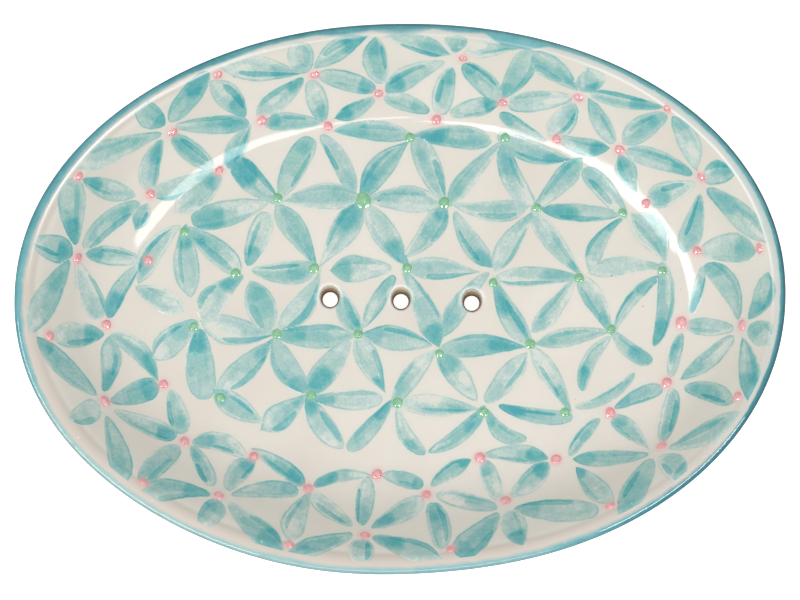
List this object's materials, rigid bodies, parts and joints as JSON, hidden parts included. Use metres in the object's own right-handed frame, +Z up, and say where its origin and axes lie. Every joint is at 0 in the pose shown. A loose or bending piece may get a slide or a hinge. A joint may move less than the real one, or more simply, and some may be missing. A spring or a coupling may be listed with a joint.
{
  "type": "soap dish",
  "caption": "Oval glazed stoneware soap dish on a low foot, with a row of drain holes, a teal rim and a hand-painted petal lattice with raised dots.",
  "frame": {"origin": "under the middle of the rim, on the surface that the foot stands on", "axes": "+X along the dish's length, +Y across it towards the back, +Z up"},
  "size_m": [0.155, 0.1114, 0.024],
  "materials": {
    "clay": "bare buff stoneware, matt",
    "white_glaze": "glossy warm-white glaze over aqua underglaze petals",
    "teal_glaze": "glossy turquoise glaze",
    "green_enamel": "glossy raised dot",
    "pink_enamel": "glossy raised dot"
  },
  "bodies": {
    "root": {"clay_body": "clay", "foot_ring": "clay", "inner_glaze": "white_glaze", "outer_glaze": "white_glaze", "base_glaze": "white_glaze", "rim_band": "teal_glaze", "green_dots": "green_enamel", "pink_dots": "pink_enamel"}
  },
  "joints": []
}
